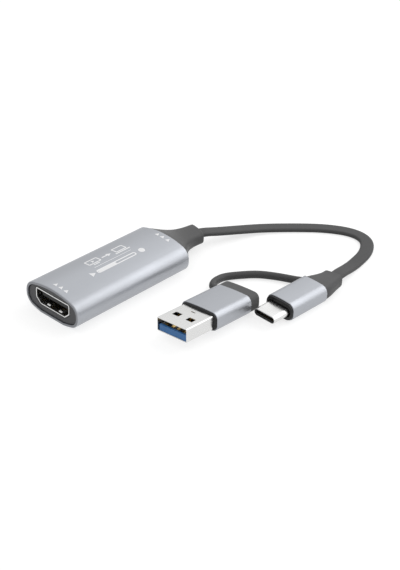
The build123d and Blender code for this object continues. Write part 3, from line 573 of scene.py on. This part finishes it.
@dataclass
class Cord:
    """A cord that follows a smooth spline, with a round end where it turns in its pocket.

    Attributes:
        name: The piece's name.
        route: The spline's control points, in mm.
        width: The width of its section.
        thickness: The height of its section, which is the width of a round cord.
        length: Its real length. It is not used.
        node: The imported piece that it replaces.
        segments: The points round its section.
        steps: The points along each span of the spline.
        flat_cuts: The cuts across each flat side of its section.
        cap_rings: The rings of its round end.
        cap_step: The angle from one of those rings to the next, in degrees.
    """

    name: str
    route: list[Point]
    width: float
    thickness: float
    length: float
    node: str
    segments: int = 32
    steps: int = 14
    flat_cuts: int = 5
    cap_rings: int = 6
    cap_step: float = 14.5

    def line(self) -> list[Vector]:
        """Reads points close together from the route's spline.

        Returns:
            The points, in metres.
        """
        curve = bpy.data.curves.new(self.name + "_line", "CURVE")
        curve.dimensions = "3D"
        curve.resolution_u = self.steps
        spline = curve.splines.new("NURBS")
        spline.points.add(len(self.route) - 1)
        for point, place in zip(spline.points, self.route):
            point.co = (*(value * MM for value in place), 1.0)
        # Set before the points, these two would leave the spline in straight runs
        spline.order_u = 3
        spline.use_endpoint_u = True
        holder = bpy.data.objects.new(curve.name, curve)
        traced = bpy.data.meshes.new_from_object(holder)
        points = [vertex.co.copy() for vertex in traced.vertices]
        bpy.data.objects.remove(holder)
        bpy.data.meshes.remove(traced)
        bpy.data.curves.remove(curve)
        return points

    def frames(self, line: list[Vector]) -> list[Matrix]:
        """Sets a frame at each point.

        Args:
            line: The points that the cord follows.

        Returns:
            The frames, with x level and across, y up and z along the cord.
        """
        made = []
        for i, place in enumerate(line):
            along = (line[min(i + 1, len(line) - 1)] - line[max(i - 1, 0)]).normalized()
            across = along.cross(UP).normalized()
            turn = Matrix((across, across.cross(along), along)).transposed().to_4x4()
            made.append(Matrix.Translation(place) @ turn)
        return made

    def section(self, mesh: Mesh) -> Edges:
        """Draws the cord's round or flat section, on the plane z 0.

        Args:
            mesh: The mesh to draw it in.

        Returns:
            Its edges.
        """
        ring = bmesh.ops.create_circle(mesh, segments=self.segments, radius=self.thickness / 2)
        flat = (self.width - self.thickness) / 2
        if flat > 0.0:
            for vertex in ring["verts"]:
                vertex.co.x += math.copysign(flat, vertex.co.x)
            long_edges = [edge for edge in mesh.edges if edge.calc_length() > flat]
            bmesh.ops.subdivide_edges(mesh, edges=long_edges, cuts=self.flat_cuts)
        return list(mesh.edges)

    def cap(self, mesh: Mesh, ring: Edges, start: Matrix) -> None:
        """Closes the cord's start with a round end.

        Args:
            mesh: The cord's mesh.
            ring: The edges at its start.
            start: The frame there.
        """
        is_flat = self.width > self.thickness
        before = start
        for step in range(1, self.cap_rings + 1):
            angle = math.radians(step * self.cap_step)
            across = math.cos(angle)
            squeeze = Matrix.Diagonal((across, 1.0 if is_flat else across, 1.0, 1.0))
            back = Matrix.Translation((0.0, 0.0, -self.width / 2 * math.sin(angle)))
            after = start @ back @ squeeze
            ring = self.step(mesh, ring, after @ before.inverted())
            before = after
        bmesh.ops.contextual_create(mesh, geom=ring)

    def build(self, material: Material) -> tuple[bpy.types.Object, list[Vector]]:
        """Extrudes the section along the line.

        Args:
            material: The cord's finish.

        Returns:
            The cord and the points it follows.
        """
        line = self.line()
        frames = self.frames(line)
        mesh = bmesh.new()
        first = self.section(mesh)
        bmesh.ops.transform(mesh, matrix=frames[0], verts=mesh.verts)
        last = first
        for here, there in zip(frames, frames[1:]):
            last = self.step(mesh, last, there @ here.inverted())
        bmesh.ops.contextual_create(mesh, geom=last)
        self.cap(mesh, first, frames[0])
        for face in mesh.faces:
            face.smooth = True
        piece = finished(self.name, mesh, material)
        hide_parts(self.node)
        return piece, line

    @staticmethod
    def step(mesh: Mesh, edges: Edges, move: Matrix) -> Edges:
        """Extrudes a ring of edges.

        Args:
            mesh: The cord's mesh.
            edges: The ring.
            move: The way from it to the new ring.

        Returns:
            The new ring.
        """
        made = bmesh.ops.extrude_edge_only(mesh, edges=edges)["geom"]
        verts = [item for item in made if isinstance(item, bmesh.types.BMVert)]
        bmesh.ops.transform(mesh, matrix=move, verts=verts)
        return [item for item in made if isinstance(item, bmesh.types.BMEdge)]


@dataclass
class FlatCable:
    """The flat cable from the box's neck to the type C plug. Its route is in mm."""

    width: float = 4.6 * MM
    thickness: float = 1.5 * MM
    length: float = 95.1 * MM
    route: list[Point] = field(
        default_factory=lambda: [
            (0.7, 40.0, 4.6),
            (1.35, 42.4, 4.5),
            (3.0, 46.8, 3.6),
            (6.4, 55.9, 2.2),
            (9.9, 64.0, 1.1),
            (17.3, 72.9, 0.8),
            (24.3, 79.6, 0.8),
            (32.5, 84.2, 0.8),
            (39.4, 83.2, 0.8),
            (43.9, 76.3, 0.8),
            (45.4, 67.6, 0.8),
            (46.1, 63.0, 1.3),
            (47.073, 56.121, 2.6),
            (47.536, 52.652, 2.6),
        ]
    )

    def build(self, material: Material) -> None:
        """Builds the cable.

        Args:
            material: The cable's finish.
        """
        cord = Cord(
            "flat_cable", self.route, self.width, self.thickness, self.length, "main_cable"
        )
        piece, line = cord.build(material)
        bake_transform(piece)


@dataclass
class Tether:
    """The round tether from the type C plug's neck to the adapter's cap. Its route is in mm."""

    diameter: float = 2.5 * MM
    length: float = 38.5 * MM
    route: list[Point] = field(
        default_factory=lambda: [
            (26.762, 21.007, 2.689),
            (24.373, 21.014, 2.459),
            (22.3, 23.7, 2.1),
            (21.5, 26.4, 1.7),
            (21.5, 30.0, 1.35),
            (24.5, 34.6, 1.35),
            (28.0, 39.0, 1.35),
            (33.0, 42.2, 1.35),
            (36.9, 43.9, 1.45),
            (39.9, 44.6, 1.9),
            (41.848, 44.581, 2.6),
        ]
    )

    def build(self, material: Material) -> None:
        """Builds the tether.

        Args:
            material: The tether's finish.
        """
        cord = Cord(
            "tether_cord", self.route, self.diameter, self.diameter, self.length, "tether"
        )
        piece, line = cord.build(material)
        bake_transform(piece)


# The box, the plug and the adapter


@dataclass
class PrintedMarks:
    """Generic pictograms on the crown of the shell.

    They are drawn flat in mm, with x along the box, and then laid on the crown.

    Attributes:
        crown_top: The height of the crown's top.
        crown_radius: The radius of the crown.
        lift: How far the print stands above the crown.
        thickness: The thickness of the print, part of it in the shell.
        line_width: The width of an outline, in mm.
        corner_steps: The points in an outline's round corner.
        dot_corners: The points round a dot.
        ends: Where along the box the two rows of heads stand, in mm.
        row: Where across the box the heads of a row stand, in mm.
        head: The radius of a head, in mm.
        strip: The width of the strips that let the print follow the crown.
        strips: The number of strips on each side of the middle.
    """

    crown_top: float = 10.8 * MM
    crown_radius: float = 28.75 * MM
    lift: float = 0.015 * MM
    thickness: float = 0.02 * MM
    line_width: float = 0.45
    corner_steps: int = 5
    dot_corners: int = 24
    ends: Pair = (-21.6, 22.0)
    row: Point = (0.8, -1.5, -3.8)
    head: float = 0.9
    strip: float = 0.5 * MM
    strips: int = 14

    def build(self, material: Material) -> None:
        """Prints the marks and ties them to the box.

        Args:
            material: The print's finish.
        """
        mesh = bmesh.new()
        self.draw(mesh)
        self.lay(mesh)
        marks = finished("printed_marks", mesh, material)
        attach(marks, Body.BOX.value)

    def draw(self, mesh: Mesh) -> None:
        """Draws the pictograms flat, each by its middle and its size.

        Args:
            mesh: The mesh to draw them in.
        """
        # A screen on its foot with the play sign on it, an arrow, and a computer with its lid open
        self.outline(mesh, (-4.3, 3.1), (5.2, 2.9), corner=0.5)
        self.bar(mesh, (-4.3, 1.15), (2.6, 0.42))
        self.disc(mesh, (-4.4, 3.1), 0.75, TRIANGLE)
        self.bar(mesh, (0.4, 2.7), (2.4, 0.55))
        self.disc(mesh, (2.0, 2.7), 1.05, TRIANGLE)
        self.outline(mesh, (6.9, 3.1), (4.6, 2.8), corner=0.4)
        self.bar(mesh, (6.9, 1.2), (6.2, 0.5))
        # A thin rule, and under it the play sign, a bar of time and the record dot
        self.bar(mesh, (1.2, -0.2), (15.6, 0.18))
        self.disc(mesh, (-9.6, -2.5), 1.25, TRIANGLE)
        self.outline(mesh, (0.6, -2.5), (16.6, 1.7), corner=0.8)
        self.bar(mesh, (-3.4, -2.5), (7.4, 0.8))
        self.disc(mesh, (11.5, -2.5), 1.1, self.dot_corners)
        # Three heads at each end show the way from the socket to the cable
        for along in self.ends:
            for across in self.row:
                self.disc(mesh, (along, across), self.head, TRIANGLE)

    def lay(self, mesh: Mesh) -> None:
        """Turns the drawing along the box, cuts it into strips and lays them on the crown.

        Args:
            mesh: The flat drawing.
        """
        place = Matrix.Rotation(math.radians(90.0), 4, "Z") @ Matrix.Diagonal((MM, MM, MM, 1.0))
        bmesh.ops.transform(mesh, matrix=place, verts=mesh.verts)
        for step in range(-self.strips, self.strips + 1):
            everything = [*mesh.verts, *mesh.edges, *mesh.faces]
            cut = (step * self.strip, 0.0, 0.0)
            bmesh.ops.bisect_plane(mesh, geom=everything, plane_co=cut, plane_no=(1.0, 0.0, 0.0))
        for vertex in mesh.verts:
            fall = self.crown_radius - math.sqrt(self.crown_radius**2 - vertex.co.x**2)
            vertex.co.z = self.crown_top - fall + self.lift
        bmesh.ops.recalc_face_normals(mesh, faces=mesh.faces)
        bmesh.ops.solidify(mesh, geom=list(mesh.faces), thickness=self.thickness)

    def bar(self, mesh: Mesh, place: Pair, size: Pair) -> None:
        """Adds a plain rectangle."""
        matrix = Matrix.Translation((*place, 0.0)) @ Matrix.Diagonal((*size, 1.0, 1.0))
        bmesh.ops.create_grid(mesh, x_segments=1, y_segments=1, size=0.5, matrix=matrix)

    def disc(self, mesh: Mesh, place: Pair, radius: float, corners: int) -> None:
        """Adds a dot, or with three corners a triangle that points along x."""
        matrix = Matrix.Translation((*place, 0.0)) @ Matrix.Rotation(math.radians(-90.0), 4, "Z")
        bmesh.ops.create_circle(mesh, cap_ends=True, segments=corners, radius=radius, matrix=matrix)

    def outline(self, mesh: Mesh, place: Pair, size: Pair, corner: float) -> None:
        """Adds the outline of a rectangle with round corners.

        Args:
            mesh: The mesh to draw it in.
            place: The rectangle's middle.
            size: Its length and height.
            corner: The radius of its corners.
        """
        drawn = bmesh.new()
        self.bar(drawn, place, size)
        bmesh.ops.bevel(
            drawn, geom=list(drawn.verts), offset=corner, affect="VERTICES",
            segments=self.corner_steps, profile=0.5, material=-1,
        )
        inner = list(drawn.faces)
        bmesh.ops.inset_region(
            drawn, faces=inner, thickness=self.line_width, use_even_offset=True, use_boundary=True
        )
        bmesh.ops.delete(drawn, geom=inner, context="FACES_ONLY")
        part = bpy.data.meshes.new("outline")
        drawn.to_mesh(part)
        drawn.free()
        mesh.from_mesh(part)
        bpy.data.meshes.remove(part)


@dataclass
class CaptureBox:
    """The aluminium box with its socket, its board and its soft neck."""

    half_length: float = 24.1 * MM

    def build(self, looks: dict[Look, Material]) -> None:
        """Dresses the box and prints its marks.

        Args:
            looks: The shared finishes.
        """
        shell = AnodisedSleeve("shell_anodised", low=-self.half_length, high=self.half_length)
        dress(["outer_shell"], shell.material())
        dress(["front_bezel"], looks[Look.BEZEL])
        dress(["rear_neck"], looks[Look.SOFT])
        dress(["video_socket_shell", "box_cable_clamp", "crystal_can"], looks[Look.NICKEL])
        dress(["video_socket_insulator"], looks[Look.BLACK])
        dress(["video_socket_contacts"], looks[Look.GOLD])
        dress(["main_board"], looks[Look.BOARD])
        chips = ["capture_chip", "flash_chip", "regulator_chip", "power_inductor"]
        dress(chips, looks[Look.CHIP])
        dress(["board_passives"], looks[Look.CERAMIC])
        dress(["box_wires"], looks[Look.WIRE])
        dress(["box_cable_stub"], looks[Look.JACKET])
        PrintedMarks().build(looks[Look.PRINT])


@dataclass
class TypeCPlug:
    """The plug on the end of the flat cable."""

    pose: Pose = field(default_factory=lambda: Pose(Vector((47.0, 26.6, 3.2)) * MM, 2.4))
    length: float = 15.9 * MM

    def build(self, looks: dict[Look, Material]) -> None:
        """Dresses the plug.

        Args:
            looks: The shared finishes.
        """
        sleeve = AnodisedSleeve("plug_sleeve_anodised", high=self.length, pose=self.pose)
        dress(["type_c_housing"], sleeve.material())
        dress(["type_c_insert"], looks[Look.INSERT])
        dress(["type_c_plug_shell"], looks[Look.NICKEL])
        dress(["type_c_lining"], looks[Look.BLACK])
        dress(["type_c_contacts"], looks[Look.GOLD])
        dress(["type_c_board"], looks[Look.BOARD])
        dress(["type_c_board_parts"], looks[Look.CHIP])
        dress(["type_c_mould"], looks[Look.MOULD])
        dress(["type_c_wires"], looks[Look.WIRE])
        dress(["type_c_neck"], looks[Look.SOFT])
        dress(["type_c_cable_stub"], looks[Look.JACKET])


@dataclass
class Adapter:
    """The tethered adapter from type C to type A."""

    pose: Pose = field(
        default_factory=lambda: Pose(Vector((34.5, 3.58, 4.7603)) * MM, 0.45, 3.0, 5.5)
    )
    length: float = 15.5 * MM
    tongue_front: float = -10.9 * MM

    def build(self, looks: dict[Look, Material]) -> None:
        """Dresses the adapter.

        Args:
            looks: The shared finishes.
        """
        sleeve = AnodisedSleeve("adapter_sleeve_anodised", high=self.length, pose=self.pose)
        dress(["adapter_housing"], sleeve.material())
        dress(["adapter_insert"], looks[Look.INSERT])
        dress(["adapter_rear_cap"], looks[Look.SOFT])
        dress(["type_a_plug_shell", "adapter_socket_shell"], looks[Look.NICKEL])
        # The tongue is painted black behind its front: painted shade deep in the plug
        blue = DeepShadeMoulding(
            "blue_moulding", (0.045, 0.19, 0.48), (0.052, 0.21, 0.52), (0.33, 0.42),
            pose=self.pose, front=self.tongue_front,
        )
        dress(["type_a_tongue"], blue.material())
        dress(["type_a_contacts", "adapter_socket_contacts"], looks[Look.GOLD])
        dress(["adapter_socket_tongue"], looks[Look.BLACK])
        dress(["adapter_board"], looks[Look.BOARD])
        dress(["adapter_board_parts"], looks[Look.CHIP])
        dress(["adapter_mould"], looks[Look.MOULD])


# The studio


@dataclass(frozen=True)
class Softbox:
    """A rectangular soft light.

    Attributes:
        name: The lamp's name.
        place: Where it hangs.
        size: Its width and height.
        power: Its power in watts.
    """

    name: str
    place: Point
    size: Pair
    power: float

    def build(self, target: Vector) -> None:
        """Hangs the light.

        Args:
            target: The point that it faces.
        """
        light = bpy.data.lights.new(self.name, "AREA")
        light.shape = "RECTANGLE"
        light.size, light.size_y = self.size
        light.energy = self.power
        holder = bpy.data.objects.new(self.name, light)
        holder.location = self.place
        holder.rotation_euler = (target - holder.location).to_track_quat("-Z", "Y").to_euler()
        holder.visible_camera = False
        bpy.context.scene.collection.objects.link(holder)


@dataclass
class Studio:
    """The white floor, the soft lights and the camera.

    Attributes:
        target: The point that the camera and the lights face.
        camera_place: Where the camera stands.
        camera_roll: How far it is turned about its view, in degrees.
        lens: Its focal length, in mm.
        sensor: The width of its sensor, in mm.
        clip: The nearest and the farthest that it sees.
        floor_half: Half the floor's side.
        floor_grey: The floor's own grey, which takes the shadow.
        floor_glow: The floor's light, which only the rays of the background see.
        floor_roughness: The floor's roughness.
        sky: The strength of the sky that lights the object, at the horizon and overhead.
        skies: Its strength for the rays of the background, where a later one goes first.
        lamps: The soft lights.
    """

    target: Vector = field(default_factory=lambda: Vector((28.43, 10.22, 10.0)) * MM)
    camera_place: Vector = field(default_factory=lambda: Vector((234.56, -229.56, 208.35)) * MM)
    camera_roll: float = 2.852
    lens: float = 78.18
    sensor: float = 36.0
    clip: Pair = (0.05, 20.0)
    floor_half: float = 3.0
    floor_grey: float = 0.35
    floor_glow: float = 0.72
    floor_roughness: float = 0.9
    sky: Pair = (0.22, 1.05)
    skies: dict[Ray, Pair] = field(
        default_factory=lambda: {
            Ray.GLOSSY: (0.75, 1.05),
            Ray.TRANSMISSION: (1.0, 1.0),
            Ray.CAMERA: (1.0, 1.0),
        }
    )
    lamps: tuple[Softbox, ...] = (
        Softbox("softbox_rear", (0.16, 0.38, 0.36), (0.54, 0.28), 0.78),
        Softbox("softbox_side", (0.42, 0.39, 0.18), (0.34, 0.20), 0.24),
        Softbox("softbox_near", (-0.108, 0.150, 0.150), (0.22, 0.10), 0.026),
    )

    def build(self) -> None:
        """Sets up everything round the object."""
        self.floor()
        self.world()
        for lamp in self.lamps:
            lamp.build(self.target)
        self.camera()

    def floor(self) -> None:
        """A white floor that keeps the object's shadow."""
        mesh = bmesh.new()
        bmesh.ops.create_grid(mesh, x_segments=1, y_segments=1, size=self.floor_half)
        shader = Shader("floor_white")
        shader.plain(Base_Color=(self.floor_grey,) * 3, Roughness=self.floor_roughness)
        shader.plain(Emission_Color=WHITE)
        rays = shader.node("ShaderNodeLightPath").outputs
        seen = rays[Ray.CAMERA.value]
        for ray in (Ray.GLOSSY, Ray.TRANSMISSION):
            seen = shader.maths("MAXIMUM", seen, rays[ray.value])
        glow = shader.spread(seen, (0.0, self.floor_glow))
        shader.link(glow, shader.surface.inputs["Emission Strength"])
        finished("floor", mesh, shader.material)

    def world(self) -> None:
        """A pale sky. The camera sees it white, and metal sees it paler overhead than low down."""
        world = bpy.data.worlds.new("pale_sky")
        bpy.context.scene.world = world
        world.use_nodes = True
        graph = Graph(world.node_tree)
        background = graph.tree.nodes["Background"]
        background.inputs["Color"].default_value = (*WHITE, 1.0)
        rays = graph.node("ShaderNodeLightPath").outputs
        split = graph.node("ShaderNodeSeparateXYZ")
        graph.link(graph.node("ShaderNodeTexCoord").outputs["Generated"], split.inputs["Vector"])
        height = split.outputs["Z"]
        level = graph.spread(height, self.sky)
        for ray, strength in self.skies.items():
            chosen = graph.node("ShaderNodeMix")
            graph.link(rays[ray.value], chosen.inputs["Factor"])
            graph.link(level, chosen.inputs["A"])
            graph.link(graph.spread(height, strength), chosen.inputs["B"])
            level = chosen.outputs["Result"]
        graph.link(level, background.inputs["Strength"])

    def camera(self) -> None:
        """Puts the camera at the photograph's viewing angle."""
        data = bpy.data.cameras.new("photo_camera")
        data.lens = self.lens
        data.sensor_width = self.sensor
        data.clip_start, data.clip_end = self.clip
        holder = bpy.data.objects.new("photo_camera", data)
        holder.location = self.camera_place
        facing = (self.target - self.camera_place).to_track_quat("-Z", "Y").to_matrix()
        roll = Matrix.Rotation(math.radians(self.camera_roll), 3, "Z")
        holder.rotation_euler = (facing @ roll).to_euler()
        bpy.context.scene.collection.objects.link(holder)
        bpy.context.scene.camera = holder


def main() -> None:
    """Builds the studio and the pieces."""
    looks = {look: look.value.material() for look in Look}
    Studio().build()
    FlatCable().build(looks[Look.JACKET])
    Tether().build(looks[Look.JACKET])
    CaptureBox().build(looks)
    TypeCPlug().build(looks)
    Adapter().build(looks)
    bpy.context.scene.view_settings.view_transform = "Standard"
    bpy.context.view_layer.update()


if __name__ == "__main__":
    main()
